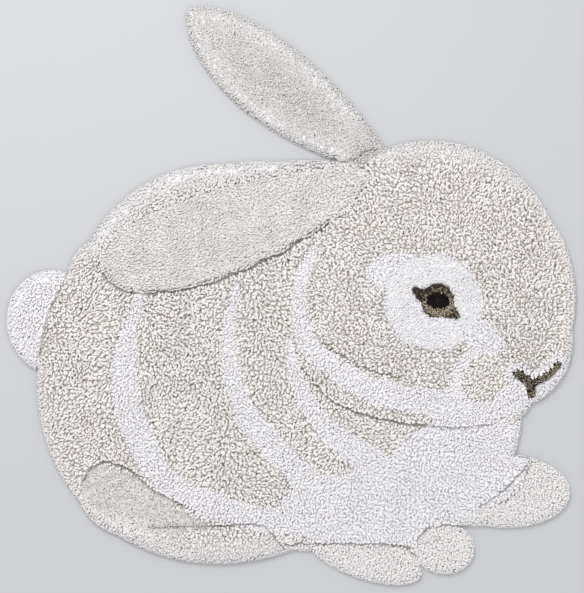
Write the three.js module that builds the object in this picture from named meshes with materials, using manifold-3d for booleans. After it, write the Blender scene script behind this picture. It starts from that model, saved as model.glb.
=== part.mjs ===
import * as THREE from "three";
import { mergeVertices } from "three/addons/utils/BufferGeometryUtils.js";
import Module from "manifold-3d";

// A tufted rug in the outline of a crouching rabbit, seen from above with its head to the right.
// Millimetres. It lies on z = 0, and the origin is the middle of the box round its outline.

const rugHeight = 15;         // canvas and cut pile together
const edgeHeight = 4;         // the turned canvas edge and the foot of the pile, straight up
const edgeInset = 12;         // how far the pile rounds over, inwards from the outline
const earBodyHeight = 9;      // the laid ear alone, its canvas and its short pile
const earSink = 5;            // how deep the laid ear presses into the pile under it
const earEdgeHeight = 4;      // the straight part of the laid ear's side
const earInset = 5;           // how far the laid ear's pile rounds over
const seamGap = 0.3;          // air left between the laid ear and the pile round it
const roundingSteps = 3;      // facets from the straight side to the flat top
const facetLength = 22;       // about how long one facet of an outline is

// The body is a join of ovals, one row each. turn is in degrees, anticlockwise.
const ovals = [
  { name: "trunk", x: -111, y: -140, halfLength: 447, halfWidth: 402, turn: 45 },
  { name: "back", x: -155, y: -38, halfLength: 310, halfWidth: 316, turn: 0 },
  { name: "shoulders", x: 30, y: 75, halfLength: 340, halfWidth: 212, turn: 0 },
  { name: "head", x: 293, y: 24, halfLength: 286, halfWidth: 304, turn: 0 },
  { name: "brow", x: 439, y: -5, halfLength: 160, halfWidth: 227, turn: 0 },
  { name: "muzzle", x: 447, y: -95, halfLength: 147, halfWidth: 146, turn: 0 },
  { name: "chin", x: 455, y: -215, halfLength: 52, halfWidth: 50, turn: 0 },
  { name: "chest", x: 269, y: -246, halfLength: 217, halfWidth: 236, turn: 0 },
  { name: "belly", x: 169, y: -305, halfLength: 255, halfWidth: 256, turn: 0 },
  { name: "flank", x: 30, y: -500, halfLength: 78, halfWidth: 38, turn: 0 },
  { name: "rump", x: -386, y: 40, halfLength: 86, halfWidth: 86, turn: 0 },
  { name: "tail", x: -500, y: -56, halfLength: 100, halfWidth: 112, turn: 12 },
  { name: "front paw", x: 447, y: -410, halfLength: 141, halfWidth: 79, turn: -2 },
  { name: "forearm", x: 382, y: -425, halfLength: 97, halfWidth: 61, turn: 0 },
  { name: "far paw", x: 317, y: -528, halfLength: 70, halfWidth: 58, turn: -15 },
  { name: "hind foot", x: 152, y: -546, halfLength: 130, halfWidth: 50, turn: -19 },
  { name: "heel", x: -330, y: -402, halfLength: 122, halfWidth: 108, turn: 0 },
];

// An ear is a leaf from its root to its tip. bow is how far its middle line swings to the left of
// that way, point is 1 for a round tip and more for a sharper one, and swell fills its outer half.
const raisedEar = {
  rootX: 224, rootY: 258, tipX: -220, tipY: 602, halfWidth: 84, bow: 10, point: 1.35, swell: 0.55,
};
const laidEar = {
  rootX: 170, rootY: 258, tipX: -396, tipY: 56, halfWidth: 90, bow: 8, point: 0.9, swell: 0.55,
};

const wasm = await Module();
wasm.setup();

function facetCount(halfLength, halfWidth) {
  const aroundIt = Math.PI * (halfLength + halfWidth);
  return 4 * Math.round(aroundIt / facetLength / 4);
}

// Every outline runs anticlockwise, and inwards says how much smaller it is all round.
function ovalOutline({ x, y, halfLength, halfWidth, turn }, inwards) {
  const count = facetCount(halfLength, halfWidth);
  const middle = new THREE.Vector2(x, y);
  const outline = [];
  for (let i = 0; i < count; i += 1) {
    const angle = (2 * Math.PI * i) / count;
    const reachX = (halfLength - inwards) * Math.cos(angle);
    const reachY = (halfWidth - inwards) * Math.sin(angle);
    const point = new THREE.Vector2(x + reachX, y + reachY);
    outline.push(point.rotateAround(middle, THREE.MathUtils.degToRad(turn)));
  }
  return outline;
}

function leafOutline({ rootX, rootY, tipX, tipY, halfWidth, bow, point, swell }, inwards) {
  const root = new THREE.Vector2(rootX, rootY);
  const along = new THREE.Vector2(tipX, tipY).sub(root);
  const count = facetCount(along.length() / 2, halfWidth);
  const outline = [];
  for (let i = 0; i < count; i += 1) {
    const angle = (2 * Math.PI * i) / count;
    const reach = (1 - Math.cos(angle)) / 2;
    const side = Math.sin(angle);
    const widest = (halfWidth - inwards) * (1 + swell * (reach - 0.5));
    const half = -Math.sign(side) * widest * Math.abs(side) ** point;
    const length = inwards + reach * (along.length() - 2 * inwards);
    const place = new THREE.Vector2(length, half + 4 * bow * reach * (1 - reach));
    outline.push(place.rotateAround(new THREE.Vector2(), along.angle()).add(root));
  }
  return outline;
}

// A closed solid through level outlines that all have the same number of points.
function stack(levels) {
  const count = levels[0].outline.length;
  const positions = levels.flatMap(({ outline, z }) => outline.flatMap((point) => [point.x, point.y, z]));
  const index = [];
  for (let level = 0; level < levels.length - 1; level += 1) {
    for (let i = 0; i < count; i += 1) {
      const a = level * count + i;
      const b = level * count + ((i + 1) % count);
      index.push(a, b, b + count, a, b + count, a + count);
    }
  }
  const top = (levels.length - 1) * count;
  for (const [a, b, c] of THREE.ShapeUtils.triangulateShape(levels[0].outline, [])) {
    index.push(a, c, b);
  }
  for (const [a, b, c] of THREE.ShapeUtils.triangulateShape(levels.at(-1).outline, [])) {
    index.push(top + a, top + b, top + c);
  }
  const geometry = new THREE.BufferGeometry();
  geometry.setAttribute("position", new THREE.Float32BufferAttribute(positions, 3));
  geometry.setIndex(index);
  return mergeVertices(geometry);
}

// Straight up from low for edge, then a quarter round that ends at high, insetBy in from the outline.
function softEdgedSolid(outlineAt, { low, edge, high, insetBy }) {
  const levels = [{ outline: outlineAt(0), z: low }];
  for (let step = 0; step <= roundingSteps; step += 1) {
    const angle = (Math.PI / 2) * (step / roundingSteps);
    levels.push({
      outline: outlineAt(insetBy * (1 - Math.cos(angle))),
      z: low + edge + (high - low - edge) * Math.sin(angle),
    });
  }
  return stack(levels);
}

function toManifold(geometry) {
  return new wasm.Manifold(new wasm.Mesh({
    numProp: 3,
    vertProperties: new Float32Array(geometry.attributes.position.array),
    triVerts: new Uint32Array(geometry.index.array),
  }));
}

function toGeometry(manifold) {
  const mesh = manifold.getMesh();
  const geometry = new THREE.BufferGeometry();
  geometry.setAttribute("position", new THREE.BufferAttribute(mesh.vertProperties, 3));
  geometry.setIndex(new THREE.BufferAttribute(mesh.triVerts, 1));
  return mergeVertices(geometry);
}

// The whole animal in one flat piece, with a shallow bed where the laid ear presses the pile down.
function rugGeometry() {
  const profile = { low: 0, edge: edgeHeight, high: rugHeight, insetBy: edgeInset };
  const parts = ovals.map((oval) => softEdgedSolid((inwards) => ovalOutline(oval, inwards), profile));
  parts.push(softEdgedSolid((inwards) => leafOutline(raisedEar, inwards), profile));
  const whole = parts.map(toManifold).reduce((joined, next) => joined.add(next));
  const bed = leafOutline(laidEar, -seamGap);
  const pressed = stack([
    { outline: bed, z: rugHeight - earSink },
    { outline: bed, z: rugHeight + earSink },
  ]);
  return toGeometry(whole.subtract(toManifold(pressed)));
}

function laidEarGeometry() {
  const low = rugHeight - earSink + seamGap;
  return softEdgedSolid((inwards) => leafOutline(laidEar, inwards), {
    low,
    edge: earEdgeHeight,
    high: low + earBodyHeight,
    insetBy: earInset,
  });
}

const bodyPile = new THREE.MeshStandardMaterial({ color: 0xd8d3cd, roughness: 0.95, metalness: 0 });
const earPile = new THREE.MeshStandardMaterial({ color: 0xd9d5d0, roughness: 0.95, metalness: 0 });

const rug = new THREE.Mesh(rugGeometry(), bodyPile);
rug.name = "rug";

const ear = new THREE.Mesh(laidEarGeometry(), earPile);
ear.name = "laid_ear";

const rabbitRug = new THREE.Group();
rabbitRug.add(rug, ear);

export default rabbitRug;
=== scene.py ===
import math

import bpy
import numpy as np
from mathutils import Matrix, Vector
from mathutils.bvhtree import BVHTree


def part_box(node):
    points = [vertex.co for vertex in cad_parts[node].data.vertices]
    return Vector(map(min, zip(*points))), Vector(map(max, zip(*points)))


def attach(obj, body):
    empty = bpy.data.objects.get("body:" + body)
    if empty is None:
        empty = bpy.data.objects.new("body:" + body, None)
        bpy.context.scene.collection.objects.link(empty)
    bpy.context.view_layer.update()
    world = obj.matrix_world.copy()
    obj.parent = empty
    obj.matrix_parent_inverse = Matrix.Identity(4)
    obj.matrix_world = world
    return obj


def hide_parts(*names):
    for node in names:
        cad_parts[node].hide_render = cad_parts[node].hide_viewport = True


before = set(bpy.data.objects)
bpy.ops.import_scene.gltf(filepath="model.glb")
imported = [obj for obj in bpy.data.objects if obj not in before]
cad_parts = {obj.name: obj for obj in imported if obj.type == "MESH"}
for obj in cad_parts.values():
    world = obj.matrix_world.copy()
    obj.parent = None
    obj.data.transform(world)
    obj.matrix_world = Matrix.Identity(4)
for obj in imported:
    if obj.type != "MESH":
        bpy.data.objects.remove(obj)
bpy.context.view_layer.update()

# The rug is drawn in millimetres, seen from above: x towards the nose, y towards the raised ear.
# Blender's own unit is the metre, so every mesh is scaled by MM as it is made.
MM = 0.001

canvas_thickness = 1.6
ear_canvas_thickness = 1.2
canvas_inset = 4.0              # how far the canvas ends inside the outline, under the rim tufts
ear_canvas_inset = 5.0
root_depth = 0.4                # how deep the tufts are rooted in the rug's canvas
ear_root_depth = 0.3
side_height = 4.0               # the straight part of the rug's side, where the tufts of the rim end
root_bed_height = 9.0           # where the feet of the tufts close up below the gaps
root_bed_step = 5.5
ear_bed_height = 5.2            # the same, above the laid ear's own canvas
rim_width = 22.0                # the strip along the outline where the tufts lean outwards
rim_rows = (4.6, 8.0)           # how far inside the outline the rim's tufts are rooted
rim_spacing = 4.2
rim_reach = 4.1
ear_rim_row = 3.0               # the same three for the laid ear's single row
ear_rim_spacing = 3.4
ear_rim_reach = 2.5
ear_strip = 14.0                # the strip round the laid ear where the rug's pile leans
gap_below_ear = 1.8             # dark line along the laid ear's free lower edge
ear_step = 4.0                  # how far the pile beside the ear's sewn edge rises to meet it
sewn_root = 0.2                 # the share of the laid ear's length that is sewn down at its root
carved_half_width = 0.5         # the shears' line between two parts of the animal
line_clearance = 0.8            # how far the ends of the tufts stay off the middle of such a line
line_strip = 4.0                # the strip along a line or a change of yarn where the tufts lean off it
nose_reach = 1.2                # the nose's tufts stand nearly upright
rug_clump = 10.0                # the size of the small clumps in which tufts draw together
ear_clump = 8.0

# Tufts: spacing and half thickness, the sideways reach of a tuft's end, how much of the pile's
# full height it has, the number of its sides, and how far neighbours draw together at their ends.
# The order of the rows settles each yarn's random draws.
tufts = {
    "cream": dict(spacing=5.15, thick=2.3, reach=8.5, height=1.0, sides=4, gather=0.75),
    "white": dict(spacing=4.8, thick=2.5, reach=7.5, height=1.0, sides=4, gather=0.4),
    "fine": dict(spacing=4.6, thick=2.1, reach=6.0, height=0.95, sides=4, gather=0.4),
    "ear": dict(spacing=4.45, thick=2.05, reach=7.5, height=1.0, sides=4, gather=0.35),
    "loops": dict(spacing=4.2, thick=1.75, reach=6.5, height=0.72, sides=4, gather=0.2),
    "brown": dict(spacing=3.4, thick=1.45, reach=4.5, height=1.04, sides=5, gather=0.1),
    "black": dict(spacing=2.9, thick=1.3, reach=4.5, height=1.06, sides=5, gather=0.0),
    "raised": dict(spacing=4.6, thick=2.1, reach=6.0, height=0.95, sides=4, gather=0.4),
}
flatness = 0.6                  # a tuft is pressed flatter than it is wide
thickness_range = (0.85, 1.15)  # the thinnest and thickest tuft, as shares of the half thickness above

# The rings of corners round a tuft, as shares of its length and of its thickness. It ends in one corner.
tuft_rings = ((0.12, 0.75), (0.55, 1.0), (0.86, 0.92))


# Outlines and distances, all in millimetres.

def underside_outline(node):
    """The corners round a CAD node's flat underside, in order, anticlockwise from above."""
    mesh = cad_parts[node].data
    mesh.calc_loop_triangles()
    places = np.array([v.co for v in mesh.vertices]) / MM
    places, shared = np.unique(places.round(3), axis=0, return_inverse=True)
    triangles = shared.ravel()[np.array([t.vertices for t in mesh.loop_triangles])]
    levels = places[triangles][:, :, 2]
    under = triangles[levels.max(axis=1) < places[:, 2].min() + 0.01]
    sides = {(a, b) for t in under.tolist() for a, b in zip(t, t[1:] + t[:1])}
    after = {b: a for a, b in sides if (b, a) not in sides}
    corner = next(iter(after))
    ring = []
    while corner not in ring:
        ring.append(corner)
        corner = after[corner]
    return places[ring][:, :2]


def measure(points, outline):
    """How far each point is inside an outline, negative outside, and the way to the nearest edge."""
    start = outline
    along = np.roll(outline, -1, axis=0) - start
    length = (along ** 2).sum(axis=1)
    inside = np.zeros(len(points))
    outward = np.zeros((len(points), 2))
    batch = 8000
    for first in range(0, len(points), batch):
        part = points[first:first + batch]
        offset = part[:, None] - start[None]
        share = ((offset * along).sum(axis=2) / length).clip(0, 1)
        away = offset - share[:, :, None] * along
        distance = np.hypot(away[:, :, 0], away[:, :, 1])
        nearest = distance.argmin(axis=1)
        rows = np.arange(len(part))
        best = distance[rows, nearest]
        below = start[None, :, 1] <= part[:, None, 1]
        below_after = (start + along)[None, :, 1] <= part[:, None, 1]
        turn = along[:, 0] * offset[:, :, 1] - along[:, 1] * offset[:, :, 0]
        winding = (below & ~below_after & (turn > 0)).sum(axis=1)
        winding = winding - (~below & below_after & (turn < 0)).sum(axis=1)
        sign = np.where(winding != 0, 1.0, -1.0)
        inside[first:first + batch] = best * sign
        way = -away[rows, nearest] / np.maximum(best, 1e-6)[:, None]
        outward[first:first + batch] = way * sign[:, None]
    return inside, outward


def oval(points, x, y, half_length, half_width, turn=0.0):
    """Distance to an oval, negative inside it. turn is in degrees."""
    cos, sin = math.cos(math.radians(turn)), math.sin(math.radians(turn))
    offset = points - (x, y)
    along = offset[:, 0] * cos + offset[:, 1] * sin
    across = offset[:, 1] * cos - offset[:, 0] * sin
    share = np.maximum(np.hypot(along / half_length, across / half_width), 1e-6)
    return (share - 1) * np.maximum(np.hypot(along, across), min(half_length, half_width) / 2) / share


def leaf(points, root, tip, half_width, bow=0.0, point=1.0, swell=0.0):
    """Distance to a leaf from its root to its tip, negative inside it."""
    way = np.subtract(tip, root)
    length = math.hypot(*way)
    way = way / length
    offset = points - root
    reach = (offset @ way) / length
    across = offset @ (-way[1], way[0]) - 4 * bow * reach * (1 - reach)
    round_it = 2 * np.sqrt((reach * (1 - reach)).clip(0, None))
    half = half_width * (1 + swell * (reach - 0.5)) * round_it ** point
    past = np.maximum(-reach, reach - 1).clip(0, None) * length
    return np.abs(across) - half + past


def smooth_curve(corners, steps=8):
    """A smooth line through a few corners, which may have any number of columns."""
    corners = np.array(corners, float)
    padded = np.vstack([2 * corners[0] - corners[1], corners, 2 * corners[-1] - corners[-2]])
    line = []
    for a, b, c, d in zip(padded, padded[1:], padded[2:], padded[3:]):
        for t in np.arange(steps) / steps:
            line.append(0.5 * (2 * b + (c - a) * t + (2 * a - 5 * b + 4 * c - d) * t ** 2
                               + (3 * b - a - 3 * c + d) * t ** 3))
    return np.array(line + [corners[-1]])


def band(points, corners):
    """Distance to a band along a smooth line of (x, y, half width) corners, negative inside it."""
    line = smooth_curve(corners)
    nearest = np.full(len(points), np.inf)
    for (x, y, half), after in zip(line, line[1:]):
        along = after - (x, y, half)
        offset = points - (x, y)
        share = ((offset @ along[:2]) / (along[:2] @ along[:2])).clip(0, 1)
        away = offset - share[:, None] * along[:2]
        nearest = np.minimum(nearest, np.hypot(away[:, 0], away[:, 1]) - half - share * along[2])
    return nearest


def drift(points, size, seed):
    """A soft wandering value from about -1 to 1, with hills about size across."""
    chance = np.random.default_rng(seed)
    waves, usual_peak = 7, 3.2
    total = np.zeros(len(points))
    for _ in range(waves):
        angle, phase = chance.uniform(0, 2 * math.pi, 2).tolist()
        stretch = chance.uniform(0.7, 1.5)
        wave = points @ (math.cos(angle), math.sin(angle)) * math.pi / (size * stretch)
        total += np.sin(wave + phase)
    return total / usual_peak


# Where each part of the animal lies on the rug.

raised_ear_leaf = dict(root=(224, 258), tip=(-220, 602), half_width=84, bow=10, point=1.35, swell=0.55)
laid_ear_root = np.array((170.0, 258.0))
laid_ear_tip = np.array((-396.0, 56.0))
laid_ear_way = laid_ear_tip - laid_ear_root
laid_ear_length = np.hypot(*laid_ear_way)
laid_ear_turn = math.atan2(*laid_ear_way[::-1])
trunk = dict(x=-111, y=-140, half_length=447, half_width=402, turn=45)
shoulders = dict(x=30, y=75, half_length=340, half_width=212)
head_oval = dict(x=293, y=24, half_length=286, half_width=304)
raised_ear_overlap = 14.0       # how far the raised ear's own yarn runs on into the head and shoulders
nose_middle = (503.0, -184.0)
nose_radius = 90.0

# How the pile lies: on the head away from a place at the nose, on the trunk downwards, which is a
# little backwards at the rump and forwards at the chest, and on the raised ear about along it.
head_combed_from = (520.0, -150.0)
head_blend = 60.0               # the strip along the head's oval where one lie turns into the other
trunk_lie = -72.0               # degrees, in the middle of the rug
trunk_lie_turn = 0.06           # degrees for each millimetre towards the nose
raised_ear_lie = math.atan2(382, -434)

# White yarn: ovals, and bands as corners of (x, y, half width).
eye_patch = dict(x=298, y=-14, half_length=104, half_width=100, turn=-10)
behind_eye = dict(x=216, y=52, half_length=60, half_width=38, turn=12)
chest = dict(x=350, y=-345, half_length=150, half_width=92, turn=12)
chest_lobe = dict(x=398, y=-352, half_length=98, half_width=90)
belly = dict(x=180, y=-446, half_length=212, half_width=82, turn=1)
white_ovals = [eye_patch, behind_eye, chest, belly, chest_lobe]
white_bands = [
    [(352, -52, 34), (408, -88, 28), (440, -104, 16)],                                   # under the eye
    [(428, -100, 20), (370, -142, 19), (352, -200, 24)],                                 # to the jaw
    [(44, 90, 11), (16, 12, 19), (36, -98, 21), (132, -178, 25), (262, -220, 28), (400, -234, 30),
     (480, -214, 28)],                                                                   # jaw
    [(466, -205, 20), (524, -199, 22), (572, -158, 14)],                                 # lip
    [(-316, 4, 10), (-350, -122, 22), (-334, -264, 31), (-256, -392, 28), (-90, -462, 27),
     (20, -474, 30)],                                                                    # hip
    [(-116, 22, 8), (-130, -112, 16), (-92, -252, 24), (34, -392, 32)],                  # flank
    [(-6, -96, 8), (14, -180, 16), (74, -276, 24), (180, -360, 34)],                     # shoulder
]
cheek_button = dict(x=404, y=-172, half_length=48, half_width=43, turn=60)
tail_oval = dict(x=-500, y=-56, half_length=104, half_width=116, turn=12)
paw_wrist = 380.0
front_paw = dict(x=447, y=-410, half_length=146, half_width=84, turn=-2)
far_paw = dict(x=322, y=-530, half_length=68, half_width=49)
hind_foot = dict(x=140, y=-564, half_length=184, half_width=44, turn=-4)
haunch_patch = [(-396, -400, 46), (-330, -438, 52), (-248, -470, 28), (-178, -481, 7)]

eye_iris = dict(x=307, y=-11, half_length=33, half_width=35.5)
eye_corners = dict(root=(255, 15), tip=(353, -46), half_width=17, point=1.25)
eye_lower_lid = dict(x=317, y=-24, half_length=25, half_width=21)
eye_pupil = dict(x=308, y=-10, half_length=20.5, half_width=14.5)
nose_bands = [
    [(475, -162, 8), (488, -172, 8), (502, -184, 7.5)],
    [(502, -184, 7.5), (538, -167, 7.5), (559, -144, 6.5)],
    [(502, -184, 7.5), (504, -206, 7.5)],
]
nose_halo = 13.0                # how wide the white is round the nose's lines

# Lines that the shears leave between two parts, as corners of (x, y, half width).
carved_lines = [
    [(88, 289, 0.8), (108, 281, 0.9), (138, 288, 0.9), (156, 303, 0.8),
     (182, 306, 0.6)],                                                           # raised ear's root
    [(20, -150, 0), (96, -226, 0.6), (220, -264, 0.8), (340, -276, 0.6),
     (420, -268, 0)],                                                            # below the jaw
    [(-440, -392, 0), (-404, -350, 0.5), (-346, -362, 0.6), (-300, -402, 0.6),
     (-224, -440, 0.3)],                                                         # round the haunch
    [(-300, -486, 0), (-180, -484, 0.5), (-64, -482, 0.6), (-16, -530, 0.5)],    # over the long foot
    [(-14, -521, 0.3), (110, -520, 0.6), (228, -524, 0.6), (262, -548, 0.4)],    # over the hind foot
    [(262, -516, 0.3), (290, -486, 0.6), (350, -483, 0.5), (382, -506, 0)],      # round the far paw
    [(396, -442, 0.3), (450, -404, 0.6), (494, -356, 0.3)],                      # paw from chest
    [(70, -100, 0), (150, -150, 0.5), (230, -172, 0)],                           # in the cheek
]


def smallest(values):
    return np.minimum.reduce(list(values))


def eye_distance(points):
    ovals = oval(points, **eye_iris), oval(points, **eye_lower_lid)
    return smallest((*ovals, leaf(points, **eye_corners)))


def nose_distance(points):
    return smallest(band(points, line) for line in nose_bands) + 1.2 * drift(points, size=4, seed=15)


def white_distance(points):
    """Distance to the white yarn, negative on it, with the slightly ragged edge that tufts give."""
    parts = [oval(points, **part) for part in white_ovals]
    parts += [band(points, line) for line in white_bands]
    parts.append(nose_distance(points) - nose_halo)
    apart = np.maximum(smallest(parts), -oval(points, **cheek_button))
    apart = apart + 1.5 * drift(points, size=16, seed=11)
    apart = apart + 1.5 * drift(points, size=6, seed=12)
    return apart + 2 * drift(points, size=2.3, seed=13)


def tail_distance(points):
    return np.maximum(oval(points, **tail_oval), -oval(points, **trunk))


def paw_distance(points):
    near_paw = np.maximum(oval(points, **front_paw), 1 - oval(points, **chest_lobe))
    near_paw = np.maximum(near_paw, paw_wrist - points[:, 0])
    return smallest((near_paw, oval(points, **far_paw), oval(points, **hind_foot)))


def raised_ear_distance(points):
    past_root = np.minimum(oval(points, **head_oval), oval(points, **shoulders))
    return np.maximum(leaf(points, **raised_ear_leaf), -past_root - raised_ear_overlap)


def by_nose(points):
    return np.hypot(*(points - nose_middle).T) < nose_radius


def yarn_at(points):
    """The name of the yarn at each point of the rug."""
    choices = [
        (oval(points, **eye_pupil) + 1.6 * drift(points, size=4, seed=14) < 0, "black"),
        (eye_distance(points) < 0, "brown"),
        (nose_distance(points) < 0, "brown"),
        (raised_ear_distance(points) < 0, "raised"),
        (tail_distance(points) < 0, "white"),
        (paw_distance(points) < 0, "fine"),
        (white_distance(points) < 0, "white"),
        (band(points, haunch_patch) < 0, "loops"),
    ]
    return np.select([where for where, _ in choices], [yarn for _, yarn in choices], "cream")


def line_distance(points):
    """Distance to the shears' lines, which wander a little."""
    wander = np.stack([drift(points, size=13, seed=82), drift(points, size=13, seed=83)], axis=1)
    return smallest(band(points + 1.6 * wander, line) for line in carved_lines)


def carved_distance(points):
    """Distance to all that parts the pile: the shears' lines, the tail's seam and changes of yarn."""
    lines = line_distance(points)
    tail_seam = np.maximum(np.abs(oval(points, **trunk)), oval(points, **tail_oval)) - 1
    eye_edge = np.abs(eye_distance(points))
    nose_edge = np.abs(nose_distance(points))
    white_edge = np.abs(white_distance(points)) + 4 * (drift(points, size=55, seed=81) < 0.25)
    return smallest((lines, tail_seam, eye_edge, nose_edge, white_edge))


def combed(points, chance):
    """The way in which the pile lies at each point, as a unit vector."""
    wide_swirl, small_swirl, stray = 0.9, 0.5, 0.42
    from_nose = points - head_combed_from
    head_way = np.arctan2(from_nose[:, 1], from_nose[:, 0])
    trunk_way = np.radians(trunk_lie + trunk_lie_turn * points[:, 0])
    on_head = (0.5 - oval(points, **head_oval) / head_blend).clip(0, 1)
    way_x = on_head * np.cos(head_way) + (1 - on_head) * np.cos(trunk_way)
    way_y = on_head * np.sin(head_way) + (1 - on_head) * np.sin(trunk_way)
    angle = np.arctan2(way_y, way_x)
    angle = np.where(raised_ear_distance(points) < 0, raised_ear_lie, angle)
    angle = angle + wide_swirl * drift(points, size=95, seed=3)
    angle = angle + small_swirl * drift(points, size=30, seed=4)
    angle = angle + chance.normal(0, stray, len(points))
    return np.stack([np.cos(angle), np.sin(angle)], axis=1)


# Tufts as one joined mesh a piece.

def scattered(outline, spacing, chance):
    """Points in uneven triangles over an outline's box."""
    stray = 0.2 * spacing
    low, high = outline.min(axis=0), outline.max(axis=0)
    rows = np.arange(low[1], high[1], spacing * math.sqrt(3) / 2)
    columns = np.arange(low[0], high[0], spacing)
    x, y = np.meshgrid(columns, rows)
    x = x + (np.arange(len(rows)) % 2)[:, None] * spacing / 2
    points = np.stack([x.ravel(), y.ravel()], axis=1)
    return points + chance.normal(0, stray, points.shape)


def along_outline(outline, inwards, spacing, chance):
    """Points in a row that follows an outline, a little inside it."""
    stray = 0.7
    steps = np.roll(outline, -1, axis=0) - outline
    lengths = np.hypot(steps[:, 0], steps[:, 1])
    distance = np.arange(0, lengths.sum(), spacing)
    ends = np.cumsum(lengths)
    side = np.searchsorted(ends, distance, side="right").clip(0, len(ends) - 1)
    share = 1 - (ends[side] - distance) / lengths[side]
    points = outline[side] + share[:, None] * steps[side]
    into = np.stack([-steps[side][:, 1], steps[side][:, 0]], axis=1) / lengths[side][:, None]
    return points + into * inwards + chance.normal(0, stray, points.shape)


def gathered(ends, size, share):
    """Ends of tufts drawn towards the middle of their small clump, some clumps far more than most."""
    cell_wander, strongest_pull, most_gathered = 3, 1.3, 0.85
    wander = np.stack([drift(ends, size=17, seed=21), drift(ends, size=17, seed=22)], axis=1)
    cells = np.floor((ends + cell_wander * wander) / size)
    _, clump = np.unique(cells, axis=0, return_inverse=True)
    clump = clump.ravel()
    count = np.bincount(clump)
    pull = strongest_pull * np.random.default_rng(23).uniform(0, 1, len(count)) ** 2
    share = np.minimum(share * pull[clump], most_gathered)
    middle = np.stack([np.bincount(clump, ends[:, axis]) / count for axis in (0, 1)], axis=1)
    return ends + np.reshape(share, (-1, 1)) * (middle[clump] - ends)


def unit(vectors):
    return vectors / np.maximum(np.linalg.norm(vectors, axis=1), 1e-9)[:, None]


def tuft_corners(grown, sides):
    """The corners of bent tufts, a row of them for each tuft, from its lowest ring to its tip."""
    roots, ends, thick = grown["roots"], grown["ends"], grown["thick"]
    rise = ends - roots
    across = unit(np.stack([-rise[:, 1], rise[:, 0], np.zeros(len(roots))], axis=1) + (0, 1e-6, 0))
    late_lean, early_rise, nearby = 1.7, 1.5, 0.05

    def centre(t):
        lean = t ** late_lean
        sideways = across * (grown["curl"] * math.sin(math.pi * t))[:, None]
        return roots + rise * np.array((lean, lean, 1 - (1 - t) ** early_rise)) + sideways

    angles = 2 * math.pi * np.arange(sides) / sides
    places = []
    for t, width in tuft_rings:
        forward = unit(centre(t + nearby) - centre(t - nearby))
        other = np.cross(forward, across) * flatness
        for angle in angles:
            out = math.cos(angle) * across + math.sin(angle) * other
            places.append(centre(t) + out * (width * thick)[:, None])
    places.append(centre(1.0))
    return np.stack(places, axis=1)


def tuft_faces(sides):
    """One tuft's triangles, and the way round and along the yarn at each of their corners."""
    faces, yarn_way = [], []
    for ring in range(len(tuft_rings) - 1):
        low, high = tuft_rings[ring][0], tuft_rings[ring + 1][0]
        for side in range(sides):
            a, b = ring * sides + side, ring * sides + (side + 1) % sides
            faces += [(a, b, b + sides), (a, b + sides, a + sides)]
            yarn_way += [(side, low), (side + 1, low), (side + 1, high)]
            yarn_way += [(side, low), (side + 1, high), (side, high)]
    top, tip = (len(tuft_rings) - 1) * sides, len(tuft_rings) * sides
    last = tuft_rings[-1][0]
    for side in range(sides):
        faces.append((top + side, top + (side + 1) % sides, tip))
        yarn_way += [(side, last), (side + 1, last), (side + 0.5, 1.0)]
    return np.array(faces), np.array(yarn_way) / (sides, 1)


def add_map(mesh, name, places):
    mesh.uv_layers.new(name=name).uv.foreach_set("vector", places.astype(np.float32).ravel())


def add_values(mesh, name, values):
    """A number at each corner of a mesh, for its finish to read."""
    mesh.attributes.new(name, "FLOAT", "POINT").data.foreach_set("value", values.astype(np.float32))


def tuft_mesh(name, grown, sides):
    """Bent tufts from their roots to their ends, with a round tip, joined in one mesh."""
    places = tuft_corners(grown, sides)
    count, per_tuft, _ = places.shape
    faces, yarn_way = tuft_faces(sides)
    corners = (faces.ravel() + np.arange(count)[:, None] * per_tuft).ravel()

    mesh = bpy.data.meshes.new(name)
    mesh.vertices.add(count * per_tuft)
    mesh.vertices.foreach_set("co", (places * MM).astype(np.float32).ravel())
    mesh.loops.add(len(corners))
    mesh.loops.foreach_set("vertex_index", corners.astype(np.int32))
    mesh.polygons.add(len(corners) // 3)
    mesh.polygons.foreach_set("loop_start", np.arange(0, len(corners), 3, dtype=np.int32))
    mesh.update(calc_edges=True)
    mesh.shade_smooth()

    add_map(mesh, "yarn", np.tile(yarn_way, (count, 1)))
    # In the map for baking each tuft has a cell of its own, with a margin round it.
    margin = 0.08
    columns = math.ceil(math.sqrt(count))
    cell = np.stack([np.arange(count) % columns, np.arange(count) // columns], axis=1)
    inside = yarn_way * (1 - 2 * margin) + margin
    add_map(mesh, "OFBake", (cell[:, None] + inside[None]).reshape(-1, 2) / columns)
    for key in ("tone", "even_tone_and_shade"):
        add_values(mesh, key, np.repeat(grown[key], per_tuft))
    return mesh


def add_piece(name, mesh, finish, node):
    piece = bpy.data.objects.new(name, mesh)
    bpy.context.scene.collection.objects.link(piece)
    mesh.materials.append(finish)
    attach(piece, "root")
    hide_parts(node)
    return piece


def cad_surface(node):
    """A function that gives the height of a CAD node's top at each point, in millimetres."""
    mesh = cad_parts[node].data
    mesh.calc_loop_triangles()
    triangles = [t.vertices for t in mesh.loop_triangles]
    tree = BVHTree.FromPolygons([v.co for v in mesh.vertices], triangles)
    well_above, down = 1.0, Vector((0, 0, -1))

    def top(points, otherwise):
        heights = np.full(len(points), float(otherwise))
        for i, (x, y) in enumerate(points * MM):
            hit = tree.ray_cast(Vector((x, y, well_above)), down)[0]
            if hit is not None:
                heights[i] = hit.z / MM
        return heights

    return top


rug_outline = underside_outline("rug")
ear_outline = underside_outline("laid_ear")
rug_top = cad_surface("rug")
ear_top = cad_surface("laid_ear")
rug_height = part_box("rug")[1].z / MM
ear_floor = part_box("laid_ear")[0].z / MM


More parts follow.
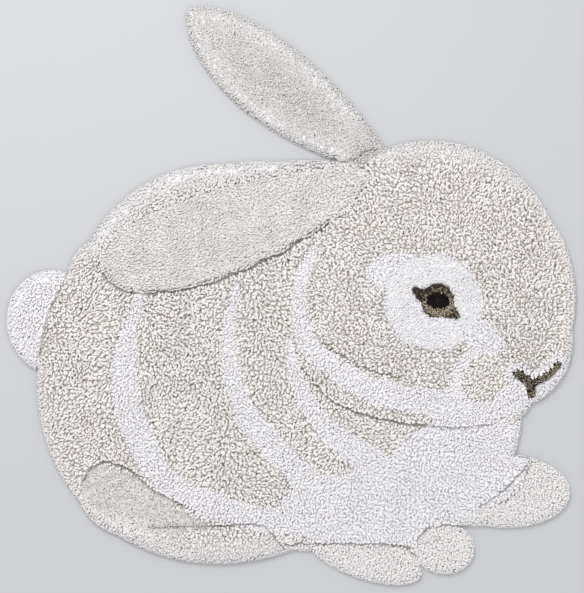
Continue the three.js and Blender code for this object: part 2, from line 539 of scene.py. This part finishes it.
def below_ear(points):
    """True beside the laid ear's free lower edge, which ends where the ear's root is sewn down."""
    way = laid_ear_way
    offset = points - laid_ear_root
    past_root = offset @ way > sewn_root * (way @ way)
    return past_root & (way[0] * offset[:, 1] - way[1] * offset[:, 0] > 0)


def ear_bulge(points):
    """How far the laid ear's pile stands past its outline, less than nothing where it is short."""
    return 3.2 * drift(points, size=30, seed=64) + 1.6 * drift(points, size=9, seed=65)


def turned(direction, target, share):
    """A direction drawn towards a target by a share of 0 to 1."""
    target_weight = 1.5
    return unit(direction * (1 - share)[:, None] + target * (share * target_weight)[:, None])


def ramp(values, start, end):
    """From 0 to 1 as the values go from start to end."""
    return ((values - start) / (end - start)).clip(0, 1)


def rim_evenness(points, inside):
    """How closed the pile is towards the outline, in a wider strip on back, crown and hind foot."""
    fully_closed, everywhere, more_on_back, more_on_crown, more_on_foot = 0.15, 24, 52, 22, 36
    x, y = points.T
    on_back = ramp(y, 60, 130) * ramp(x, 170, 110)
    on_crown = ramp(y, 200, 260) * ramp(x, 170, 210)
    on_foot = ramp(y, -440, -480) * ramp(x, 0, -40)
    width = everywhere + more_on_back * on_back + more_on_crown * on_crown + more_on_foot * on_foot
    return (1 + fully_closed - inside / width).clip(0, 1)


def evenness(points, inside):
    """How closed and even the pile is at each point, from 0 to 1."""
    on_eye_patch = oval(points, **eye_patch) < 0
    on_cheek = oval(points, **cheek_button) < 8
    on_paw = paw_distance(points) < 0
    near_ear_tip = (raised_ear_distance(points) < 0) * ramp(points[:, 1], 430, 550)
    parts = 0.9 * on_eye_patch, 0.4 * on_cheek, 0.5 * on_paw, 0.7 * near_ear_tip
    return np.maximum.reduce((rim_evenness(points, inside), *parts))


def way_off(distance_at, points):
    """The way in which a distance grows fastest, as a unit vector at each point."""
    step = 0.5
    beside = [distance_at(points + (step, 0)), distance_at(points + (0, step))]
    beside = np.stack(beside, axis=1)
    return unit(beside - distance_at(points)[:, None])


def kept_off_lines(points, ends):
    """Ends of tufts that don't cross the shears' lines."""
    nearby = 12.0
    line = line_distance(points)
    off_line = way_off(line_distance, points)
    lean = ((ends - points) * off_line).sum(axis=1)
    short = np.where(line < nearby, line_clearance - line - lean, 0).clip(0, None)
    return ends + off_line * short[:, None]


class Roots:
    """Where tufts are rooted on the rug's canvas, and the distances that their growth depends on."""

    def __init__(self, points):
        self.points = points
        self.inside, self.outward = measure(points, rug_outline)
        self.under_ear, self.off_ear = measure(points, ear_outline)
        self.low_side = below_ear(points)
        self.bulge = ear_bulge(points)
        self.carved = carved_distance(points)

    def keep(self, chosen):
        for name, values in list(vars(self).items()):
            setattr(self, name, values[chosen])

    def on_rim(self):
        row_stray = 1.5
        return self.inside < rim_rows[-1] + row_stray

    def near_ear(self):
        """From 0 at the outer edge of the strip round the laid ear to 1 at the ear."""
        return (1 + self.under_ear / ear_strip).clip(0, 1)

    def near_line(self):
        """From 0 at the outer edge of the strip along a line to 1 at the line."""
        return (1 - (self.carved - carved_half_width) / line_strip).clip(0, 1)


def rug_roots(yarn, chance):
    """Where one yarn's tufts are rooted: rows along the outline, and uneven triangles within them."""
    field_clearance, notch_clearance, row_clearance = 3.0, 0.6, 0.85 * rim_spacing
    row_stray, under_sewn_edge = 2, 0.5
    points = scattered(rug_outline, tufts[yarn]["spacing"], chance)
    inside, _ = measure(points, rug_outline)
    rows = [along_outline(rug_outline, inwards, rim_spacing, chance) for inwards in rim_rows]
    rows = np.concatenate(rows)
    free = inside > rim_rows[-1] + field_clearance
    # In a notch of the outline the rows leave a gap, which the field fills.
    notch = ~free & (inside > rim_rows[0] - notch_clearance)
    apart = np.array([np.hypot(*(rows - point).T).min() for point in points[notch]])
    free[notch] = apart > row_clearance
    points = np.concatenate([points[free], rows])
    at = Roots(points[yarn_at(points) == yarn])
    bare = np.where(at.low_side, gap_below_ear + at.bulge, -under_sewn_edge)
    on_canvas = at.inside > rim_rows[0] - row_stray
    at.keep(on_canvas & (at.under_ear < -bare) & (at.carved > carved_half_width))
    return at


def rug_lean(yarn, at, chance):
    """The way in which each tuft leans."""
    near_eye, eye_share, line_share = 80.0, 0.85, 0.6
    free_side_share, sewn_side_share, rim_power = 0.75, 0.5, 0.6
    way = combed(at.points, chance)
    if yarn in ("brown", "black"):
        from_pupil = at.points - (eye_pupil["x"], eye_pupil["y"])
        in_eye = np.hypot(*from_pupil.T) < near_eye
        way = turned(way, unit(from_pupil), np.where(in_eye, eye_share, 0.0))
    near_rim = (1 - at.inside / rim_width).clip(0, 1)
    way = turned(way, at.outward, near_rim ** rim_power)
    # Off the laid ear's free edge, and up to its sewn edge.
    beside_ear = np.where(at.low_side, 1.0, -1.0)[:, None] * at.off_ear
    share = at.near_ear() * np.where(at.low_side, free_side_share, sewn_side_share)
    way = turned(way, beside_ear, share)
    return turned(way, way_off(carved_distance, at.points), at.near_line() * line_share)


def rug_reach(yarn, at, chance):
    """How far sideways each tuft's end lies from its root."""
    shortest, longest, shorter_by_line, beside_seam = 0.6, 1.25, 0.45, 4.5
    count = len(at.points)
    reach = tufts[yarn]["reach"] * chance.uniform(shortest, longest, count)
    reach = reach * (1 - shorter_by_line * at.near_line())
    if yarn == "brown":
        reach = np.where(by_nose(at.points), nose_reach, reach)
    over_rim = rim_reach * chance.uniform(0.85, 1.1, count)
    reach = np.where(at.on_rim(), over_rim, np.minimum(reach, at.inside))
    over_seam = chance.uniform(1, 7, count) - at.under_ear
    at_seam = ~at.low_side & (at.under_ear > -beside_seam)
    return np.where(at_seam, np.maximum(reach, over_seam), reach)


def rug_ends(yarn, at, way, reach, calm):
    """Where the tufts end, seen from above, and how far in over the laid ear that would be."""
    furthest_over_ear, from_place_to_place, least_open, rim_open = 7.0, 0.8, 0.15, 0.2
    openness = tufts[yarn]["gather"] * (1 - calm)
    differing = 1 + from_place_to_place * drift(at.points, size=60, seed=42)
    openness = openness * differing.clip(least_open, None)
    openness = openness * np.where(at.on_rim(), rim_open, 1.0)
    ends = gathered(at.points + way * reach[:, None], rug_clump, openness)
    ends = kept_off_lines(at.points, ends)
    over_ear, off_ear = measure(ends, ear_outline)
    allowed = np.where(below_ear(ends), -0.5 * gap_below_ear - at.bulge, furthest_over_ear)
    return ends + off_ear * (over_ear - allowed).clip(0, None)[:, None], over_ear


def rug_heights(yarn, at, ends, over_ear, calm, chance):
    """The level of each tuft's end: near the CAD solid's top, and a little uneven."""
    unevenness, below_top, swell, at_ear, below_side = 0.45, 0.3, 0.4, 0.3, 0.5
    lift = np.where(at.low_side, 0.0, ear_step * at.near_ear())
    heights = rug_top(ends, side_height) * tufts[yarn]["height"]
    heights = np.where(over_ear > -at_ear, rug_height, heights) + lift
    uneven = (1 - 0.5 * calm) * chance.normal(0, unevenness, len(ends))
    heights = heights + uneven - below_top + swell * drift(at.points, size=60, seed=41)
    return np.maximum(heights, side_height - below_side)


def rug_tones(yarn, points, calm, chance):
    """How much deeper or paler than its yarn each tuft is, from 1 for pale to -1 for deep."""
    by_tuft, by_area, loops_deeper, nose_contrast, nose_paler = 0.5, 0.3, 0.9, 0.8, 1.1
    iris_edge, iris_contrast, edge_tone, middle_tone, corner_deeper = 7, 2.2, -0.55, 0.25, 0.35
    tone = by_tuft * (1 - 0.5 * calm) * chance.normal(0, 1, len(points))
    tone = tone + by_area * drift(points, size=45, seed=51)
    if yarn == "loops":
        tone = tone - loops_deeper
    if yarn == "brown":
        # The iris is deep at its edge, and deeper in the eye's corners.
        past_iris = oval(points, **eye_iris)
        tone = iris_contrast * tone + np.where(past_iris > -iris_edge, edge_tone, middle_tone)
        tone = tone - corner_deeper * (past_iris > 0)
        tone = np.where(by_nose(points), nose_contrast * tone + nose_paler, tone)
    return tone.clip(-1, 1)


def rug_even_tone_and_shade(yarn, at, calm):
    """How far each tuft has its yarn's even tone, where the pile round it is closed: painted shade on
    the cream and white yarns, a steadier tone on the raised ear, and the fine yarn's own tone on the
    paws.
    """
    fine_evened = 1.15
    if yarn in ("brown", "black"):
        return np.zeros(len(at.points))
    if yarn == "fine":
        return np.full(len(at.points), fine_evened)
    on_eye_patch = oval(at.points, **eye_patch) < 0
    return np.where(on_eye_patch, calm, rim_evenness(at.points, at.inside))


def grow_rug_tufts(yarn):
    """Every tuft of one yarn on the rug's canvas: its root, end, half thickness, curl and tones."""
    look = tufts[yarn]
    first_seed, closed_thicker, curl = 100, 0.25, 0.22
    chance = np.random.default_rng(list(tufts).index(yarn) + first_seed)
    at = rug_roots(yarn, chance)
    count = len(at.points)
    calm = evenness(at.points, at.inside)
    way = rug_lean(yarn, at, chance)
    reach = rug_reach(yarn, at, chance)
    ends, over_ear = rug_ends(yarn, at, way, reach, calm)
    heights = rug_heights(yarn, at, ends, over_ear, calm, chance)
    tone = rug_tones(yarn, at.points, calm, chance)
    return {
        "roots": np.column_stack([at.points, np.full(count, canvas_thickness - root_depth)]),
        "ends": np.column_stack([ends, heights]),
        "thick": look["thick"] * chance.uniform(*thickness_range, count) * (1 + closed_thicker * calm),
        "curl": chance.normal(0, curl, count) * look["thick"],
        "tone": tone,
        "even_tone_and_shade": rug_even_tone_and_shade(yarn, at, calm),
    }


def grow_ear_tufts():
    """Every tuft on the laid ear's own canvas."""
    look = tufts["ear"]
    rooted_inset, field_inset, edge_strip, root_strip, seed = 1.2, 5.0, 7.0, 0.5, 200
    wide_swirl, small_swirl, stray, longer_at_root, open_at_root = 0.8, 0.5, 0.3, 3, 1.6
    shortest, longest, least_room, overhang, curl, even_tone_and_shade = 0.6, 1.2, 0.2, 0.5, 0.25, 0.2
    below_top, unevenness, by_tuft, by_area = 0.3, 0.35, 0.4, 0.3
    chance = np.random.default_rng(seed)
    points = scattered(ear_outline, look["spacing"], chance)
    inside, _ = measure(points, ear_outline)
    row = along_outline(ear_outline, ear_rim_row, ear_rim_spacing, chance)
    points = np.concatenate([points[inside > field_inset], row])
    inside, outward = measure(points, ear_outline)
    low_side = below_ear(points)
    bulge = ear_bulge(points)
    keep = inside > np.where(low_side, rooted_inset - bulge.clip(None, 0), rooted_inset)
    points, outward, inside = points[keep], outward[keep], inside[keep]
    low_side, bulge = low_side[keep], bulge[keep]
    count = len(points)

    angle = laid_ear_turn + wide_swirl * drift(points, size=70, seed=61)
    angle = angle + small_swirl * drift(points, size=24, seed=62)
    angle = angle + chance.normal(0, stray, count)
    way = np.stack([np.cos(angle), np.sin(angle)], axis=1)
    way = turned(way, outward, (1 - inside / edge_strip).clip(0, 1))
    along = (points - laid_ear_root) @ laid_ear_way / laid_ear_length ** 2
    near_root = (1 - along / root_strip).clip(0, 1)
    reach = (look["reach"] + longer_at_root * near_root) * chance.uniform(shortest, longest, count)
    room = np.maximum(inside + np.where(low_side, bulge + overhang, ear_rim_reach), least_room)
    reach = np.where(inside < ear_rim_row + 1, room, np.minimum(reach, room))
    openness = look["gather"] * (1 + open_at_root * near_root)
    ends = gathered(points + way * reach[:, None], ear_clump, openness)
    heights = ear_top(ends, rug_height) + chance.normal(-below_top, unevenness, count)
    tone = by_tuft * chance.normal(0, 1, count) + by_area * drift(points, size=40, seed=63)
    root_level = ear_floor + ear_canvas_thickness - ear_root_depth
    return {
        "roots": np.column_stack([points, np.full(count, root_level)]),
        "ends": np.column_stack([ends, heights]),
        "thick": look["thick"] * chance.uniform(*thickness_range, count),
        "curl": chance.normal(0, curl, count) * look["thick"],
        "tone": tone.clip(-1, 1),
        "even_tone_and_shade": np.full(count, even_tone_and_shade),
    }


# Finishes.

class Value:
    """A number that changes over a surface, which takes part in sums like a plain one."""

    def __init__(self, finish, socket):
        self.finish = finish
        self.socket = socket

    def sum(self, operation, first, second):
        node = self.finish.node("ShaderNodeMath", {"operation": operation}, {0: first, 1: second})
        return Value(self.finish, node.outputs[0])

    def __add__(self, other):
        return self.sum("ADD", self, other)

    def __radd__(self, other):
        return self.sum("ADD", other, self)

    def __sub__(self, other):
        return self.sum("SUBTRACT", self, other)

    def __rsub__(self, other):
        return self.sum("SUBTRACT", other, self)

    def __mul__(self, other):
        return self.sum("MULTIPLY", self, other)

    def __rmul__(self, other):
        return self.sum("MULTIPLY", other, self)

    def __gt__(self, other):
        return self.sum("GREATER_THAN", self, other)


class Finish:
    """A matt cloth material with its nodes."""

    def __init__(self, name, roughness, sheen):
        self.material = bpy.data.materials.new(name)
        self.material.use_nodes = True
        self.tree = self.material.node_tree
        self.shader = self.tree.nodes["Principled BSDF"]
        self.shader.inputs["Roughness"].default_value = roughness
        self.shader.inputs["Sheen Weight"].default_value = sheen
        self.shader.inputs["Sheen Roughness"].default_value = 0.5
        self.shader.inputs["Specular IOR Level"].default_value = 0.15

    def node(self, kind, settings, values):
        """A node of this kind, with its settings made first, then its sockets' values or links."""
        made = self.tree.nodes.new(kind)
        for key, setting in settings.items():
            setattr(made, key, setting)
        for key, value in values.items():
            socket = made.inputs[key]
            if isinstance(value, Value):
                self.tree.links.new(value.socket, socket)
            else:
                socket.default_value = value
        return made

    def value(self, kind, settings, values, output=0):
        return Value(self, self.node(kind, settings, values).outputs[output])

    def attribute(self, name, output="Fac"):
        return self.value("ShaderNodeAttribute", {"attribute_name": name}, {}, output)

    def mix(self, share, first, second):
        """A colour from first to second by a share of 0 to 1."""
        settings = {"data_type": "RGBA", "clamp_factor": True}
        return self.value("ShaderNodeMix", settings, {"Factor": share, 6: first, 7: second}, 2)

    def noise(self, place, scale, detail=2.0):
        values = {"Vector": place, "Scale": scale, "Detail": detail}
        return self.value("ShaderNodeTexNoise", {}, values, "Fac")

    def sine(self, angle):
        return self.value("ShaderNodeMath", {"operation": "SINE"}, {0: angle})

    def size(self, number):
        return self.value("ShaderNodeMath", {"operation": "ABSOLUTE"}, {0: number})

    def place(self):
        return self.value("ShaderNodeTexCoord", {}, {}, "Object")

    def parts(self, vector):
        made = self.node("ShaderNodeSeparateXYZ", {}, {0: vector})
        return [Value(self, output) for output in made.outputs]

    def set(self, name, value):
        self.tree.links.new(value.socket, self.shader.inputs[name])

    def relief(self, height, strength, depth):
        values = {"Strength": strength, "Distance": depth, "Height": height}
        self.set("Normal", self.value("ShaderNodeBump", {}, values))


def yarn_finish(name, pale, deep, even=None, contrast=0.5, sheen=0.35):
    """Twisted cotton yarn: its tone differs from tuft to tuft, and its plies wind round it.
    Each tuft is painted darker towards its root, as painted shade down in the pile.

    pale and deep are its two ends, and even is its tone where the pile is closed, which on
    the cream and white yarns is darker than the yarn, as painted shade.
    """
    most_evened, painted_shade_share, painted_shade_fade = 0.75, 0.3, 1.3
    finish = Finish(name, roughness=0.92, sheen=sheen)
    tone = finish.attribute("tone")
    fibre = finish.noise(finish.place(), scale=900.0)
    round_it, along_it, _ = finish.parts(finish.attribute("yarn", "Vector"))
    body = finish.mix(0.5 - contrast * tone + 0.5 * (fibre - 0.5), pale, deep)
    # Painted shade: at the rim and on the eye patch the cream and white yarns turn darker towards even.
    even_tone_and_shade = finish.mix(finish.attribute("even_tone_and_shade") * most_evened, body, even or pale)
    # Painted shade: each tuft darkens towards its root, deep in the pile.
    shaded = [painted_shade_share * part for part in deep[:3]] + [1]
    finish.set("Base Color", finish.mix((0.5 - along_it) * painted_shade_fade, even_tone_and_shade, shaded))
    ply = finish.sine(2 * math.pi * (3 * round_it + 2 * along_it))
    finish.relief(0.6 * ply + 0.8 * fibre, strength=0.5, depth=0.0004)
    return finish.material


def canvas_finish():
    """Plain-woven unbleached cotton, one thread over and one under."""
    finish = Finish("unbleached_canvas", roughness=0.9, sheen=0.15)
    thread_spacing = 1.5 * MM
    thread_colour, painted_gap_shade = (0.66, 0.60, 0.50, 1), (0.40, 0.34, 0.26, 1)
    across, along, _ = finish.parts(finish.place())
    warp = finish.sine(across * (math.pi / thread_spacing))
    weft = finish.sine(along * (math.pi / thread_spacing))
    over = warp * weft > 0.0
    height = over * finish.size(warp) + (1 - over) * finish.size(weft)
    slub = finish.noise(finish.place(), scale=160.0, detail=3.0)
    # Painted shade where the threads dip under each other, with random slubs in the yarn's tone.
    shade = 0.55 * (1 - height) + 0.9 * (slub - 0.35)
    finish.set("Base Color", finish.mix(shade, thread_colour, painted_gap_shade))
    finish.relief(height, strength=0.7, depth=0.0005)
    return finish.material


def root_finish():
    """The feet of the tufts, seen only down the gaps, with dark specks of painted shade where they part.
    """
    finish = Finish("tuft_feet_in_painted_shade", roughness=0.95, sheen=0.1)
    # Painted shade: the feet are painted far darker than their cream and white yarns, as the shade down
    # in the pile.
    cream, white = (0.50, 0.475, 0.44, 1), (0.78, 0.765, 0.78, 1)
    painted_gap_shade, darkest = (0.09, 0.075, 0.06, 1), (0.02, 0.014, 0.012, 1)
    speck = finish.noise(finish.place(), scale=300.0, detail=3.0)
    paleness = finish.attribute("pale")
    yarn = finish.mix(paleness, cream, white)
    # Painted shade: dark specks where the tufts part.
    specked = finish.mix((0.53 - 0.05 * paleness - speck) * 6, yarn, painted_gap_shade)
    # Darkest below eye and nose, whose yarn is dark, and as painted shade along the shears' lines.
    finish.set("Base Color", finish.mix(finish.attribute("dark"), specked, darkest))
    finish.relief(speck, strength=0.8, depth=0.001)
    return finish.material


# The even colours of cream and white are painted shade, darker than the yarn; the raised ear's is its
# middle tone, the fine yarn's its own paler tone.
finishes = {
    "cream": yarn_finish("cream_yarn", (0.895, 0.86, 0.84, 1), (0.70, 0.66, 0.635, 1),
                         even=(0.63, 0.618, 0.62, 1)),
    "white": yarn_finish("white_yarn", (0.87, 0.85, 0.87, 1), (0.76, 0.74, 0.757, 1),
                         even=(0.665, 0.652, 0.66, 1), contrast=0.35),
    "fine": yarn_finish("fine_cream_yarn", (0.785, 0.75, 0.73, 1), (0.59, 0.56, 0.54, 1),
                        even=(0.82, 0.80, 0.795, 1), contrast=0.45),
    "raised": yarn_finish("raised_ear_yarn", (0.70, 0.668, 0.652, 1), (0.52, 0.494, 0.478, 1),
                          even=(0.62, 0.605, 0.60, 1), contrast=0.45),
    "brown": yarn_finish("brown_yarn", (0.44, 0.38, 0.27, 1), (0.05, 0.032, 0.026, 1),
                         contrast=0.75, sheen=0.1),
    "black": yarn_finish("black_yarn", (0.016, 0.01, 0.012, 1), (0.004, 0.003, 0.003, 1), sheen=0.0),
    "canvas": canvas_finish(),
    "roots": root_finish(),
}


# The rug's pieces.

def flat_sheet(name, outline, inwards, low, thickness):
    """A closed flat sheet that follows an outline, in millimetres."""
    edges = np.roll(outline, -1, axis=0) - np.roll(outline, 1, axis=0)
    into = unit(np.stack([-edges[:, 1], edges[:, 0]], axis=1))
    rim = outline + into * inwards
    count = len(rim)
    places = [(x * MM, y * MM, z * MM) for z in (low, low + thickness) for x, y in rim]
    faces = [tuple(range(count))[::-1], tuple(range(count, 2 * count))]
    for i in range(count):
        after = (i + 1) % count
        faces.append((i, after, count + after, count + i))
    mesh = bpy.data.meshes.new(name)
    mesh.from_pydata(places, [], faces)
    return mesh


def bed_mesh(name, outline, heights_at, tones_at, margin=2.5):
    """The uneven surface at which the feet of the tufts close up, on a square grid."""
    low, high = outline.min(axis=0), outline.max(axis=0)
    across, along = (np.arange(low[axis], high[axis], root_bed_step) for axis in (0, 1))
    x, y = np.meshgrid(across, along)
    points = np.stack([x.ravel(), y.ravel()], axis=1)
    inside, _ = measure(points, outline)
    columns = x.shape[1]
    first = np.arange(len(points) - columns - 1)
    first = first[first % columns < columns - 1]
    faces = np.stack([first, first + 1, first + 1 + columns, first + columns], axis=1)
    faces = faces[inside[faces].min(axis=1) > margin]
    used, faces = np.unique(faces, return_inverse=True)
    points, inside = points[used], inside[used]
    places = np.column_stack([points, heights_at(points, inside)]) * MM
    mesh = bpy.data.meshes.new(name)
    mesh.from_pydata(places.tolist(), [], faces.reshape(-1, 4).tolist())
    mesh.shade_smooth()
    for key, values in tones_at(points).items():
        add_values(mesh, key, values)
    return mesh


def rug_bed_heights(points, inside):
    """Lower at the rim and down the lines, higher and smoother where the pile is closed."""
    at_outline, closed_higher, closed_strip = 0.35, 3, 24
    lumpiness, closed_smoother, line_depth, line_reach = 1.3, 0.7, 4, 5
    beside_ear, free_side, sewn_side, below_canvas = 6.0, 4.0, 9.0, 0.6
    under_ear, _ = measure(points, ear_outline)
    calm = evenness(points, inside)
    heights = root_bed_height * (at_outline + inside / rim_width).clip(0, 1)
    heights = heights + closed_higher * calm * (inside / closed_strip).clip(0, 1)
    lumps = lumpiness * (1 - closed_smoother * calm) * drift(points, size=8, seed=71)
    heights = heights + lumps
    heights = heights - line_depth * (1 - carved_distance(points) / line_reach).clip(0, 1)
    ear_side = np.where(below_ear(points), free_side, sewn_side)
    heights = np.where(np.abs(under_ear) < beside_ear, ear_side, heights)
    return np.where(under_ear > beside_ear, ear_floor - below_canvas, heights)


def rug_bed_tones(points):
    """How far the bed has the white yarn's tone, also paler along the rim where less shade is painted,
    and how dark it is below eye and nose, whose yarn is dark, and along the lines as painted shade.
    """
    by_dark_yarn, by_line, line_painted_shade, fine_paleness, less_shade_at_rim = 2, 3.5, 0.35, 0.5, 0.8
    yarn = yarn_at(points)
    dark = (eye_distance(points) < by_dark_yarn) | (nose_distance(points) < by_dark_yarn)
    dark = np.maximum(dark, line_painted_shade * (line_distance(points) < by_line))
    inside, _ = measure(points, rug_outline)
    pale = (yarn == "white") + fine_paleness * np.isin(yarn, ("fine", "loops", "raised"))
    return {"pale": np.maximum(pale, less_shade_at_rim * rim_evenness(points, inside)), "dark": dark}


def ear_bed_heights(points, inside):
    at_outline, rim_strip, lumpiness = 0.3, 12, 0.6
    height = ear_floor + ear_bed_height * (at_outline + inside / rim_strip).clip(0, 1)
    return height + lumpiness * drift(points, size=8, seed=72)


def ear_bed_tones(points):
    paleness = 0.6
    return {"pale": np.full(len(points), paleness), "dark": np.zeros(len(points))}


def tuft_piece(name, grown, where, yarn, node):
    """A piece of the chosen tufts. The loops and the laid ear are of the fine yarn."""
    chosen = {key: values[where] for key, values in grown.items()}
    mesh = tuft_mesh(name, chosen, tufts[yarn]["sides"])
    return add_piece(name, mesh, finishes.get(yarn, finishes["fine"]), node)


def rug_pile():
    """Every tufted piece on the rug's own canvas."""
    haunch_top, belly_back = -190, -100
    pieces = []
    slots = {"cream": "cream_pile", "white": "white_pile", "fine": "ear_pile", "raised": "ear_pile",
             "loops": "cream_pile", "brown": "brown_pile", "black": "black_pile"}
    for yarn, slot in slots.items():
        grown = grow_rug_tufts(yarn)
        points = grown["roots"][:, :2]
        head = oval(points, **head_oval) < 0
        low, fore = points[:, 1] <= haunch_top, points[:, 0] > belly_back
        nose = by_nose(points)
        areas = {
            "cream": {"cream_head": head, "cream_back": ~head & ~low, "cream_haunch": ~head & low},
            "white": {"white_face": head, "white_belly": ~head & fore,
                      "white_hip_and_tail": ~head & ~fore},
            "fine": {"paws": slice(None)},
            "raised": {"raised_ear": slice(None)},
            "loops": {"haunch_patch": slice(None)},
            "brown": {"iris": ~nose, "nose": nose},
            "black": {"pupil": slice(None)},
        }
        for name, where in areas[yarn].items():
            pieces.append(tuft_piece(f"{name}_pile", grown, where, yarn, "rug"))
    return pieces


canvas = add_piece("canvas", flat_sheet("canvas", rug_outline, canvas_inset, 0.0, canvas_thickness),
                   finishes["canvas"], "rug")
bed = add_piece("pile_bed", bed_mesh("pile_bed", rug_outline, rug_bed_heights, rug_bed_tones),
                finishes["roots"], "rug")
pile = rug_pile()

ear_canvas = add_piece("laid_ear_canvas",
                       flat_sheet("laid_ear_canvas", ear_outline, ear_canvas_inset, ear_floor,
                                  ear_canvas_thickness),
                       finishes["canvas"], "laid_ear")
ear_bed = add_piece("laid_ear_bed",
                    bed_mesh("laid_ear_bed", ear_outline, ear_bed_heights, ear_bed_tones),
                    finishes["roots"], "laid_ear")
ear_pile = tuft_piece("laid_ear_pile", grow_ear_tufts(), slice(None), "ear", "laid_ear")


# The plain pale floor, the soft studio light and the camera straight above.

def build_stage():
    floor_mesh = bpy.data.meshes.new("floor")
    half, just_below_rug = 8.0, -0.0005
    corners = [(-half, -half, 0), (half, -half, 0), (half, half, 0), (-half, half, 0)]
    floor_mesh.from_pydata(corners, [], [(0, 1, 2, 3)])
    floor = bpy.data.objects.new("floor", floor_mesh)
    floor.location.z = just_below_rug
    bpy.context.scene.collection.objects.link(floor)
    finish = bpy.data.materials.new("pale_floor")
    finish.use_nodes = True
    shader = finish.node_tree.nodes["Principled BSDF"]
    shader.inputs["Base Color"].default_value = (0.46, 0.465, 0.475, 1)
    shader.inputs["Roughness"].default_value = 0.9
    floor_mesh.materials.append(finish)


def add_light(name, place, size, power):
    lamp = bpy.data.lights.new(name, "AREA")
    lamp.shape = "SQUARE"
    lamp.size = size
    lamp.energy = power
    light = bpy.data.objects.new(name, lamp)
    light.location = place
    towards_rug = -Vector(place)
    light.rotation_euler = towards_rug.to_track_quat("-Z", "Y").to_euler()
    bpy.context.scene.collection.objects.link(light)


def build_light():
    world = bpy.data.worlds.new("studio")
    world.use_nodes = True
    sky = world.node_tree.nodes["Background"].inputs
    sky["Color"].default_value = (0.97, 0.98, 1.0, 1)
    sky["Strength"].default_value = 0.8
    bpy.context.scene.world = world
    add_light("key", place=(-1.0, 1.8, 2.8), size=1.8, power=75.0)
    add_light("fill", place=(1.2, -1.2, 3.2), size=2.6, power=30.0)
    bpy.context.scene.view_settings.view_transform = "Standard"


def build_camera():
    photo_width, photo_height = 584, 593
    mm_per_pixel = 2.1
    rug_middle = (291.5, 296.0)
    height = 4.0
    camera = bpy.data.objects.new("camera", bpy.data.cameras.new("camera"))
    pixel = mm_per_pixel * MM
    camera.location = ((photo_width / 2 - rug_middle[0]) * pixel,
                       (rug_middle[1] - photo_height / 2) * pixel, height)
    seen = photo_height * pixel
    pile_level = 0.8 * rug_height * MM
    camera.data.sensor_width = 36.0
    camera.data.lens = camera.data.sensor_width * (height - pile_level) / seen
    bpy.context.scene.collection.objects.link(camera)
    bpy.context.scene.camera = camera


build_stage()
build_light()
build_camera()
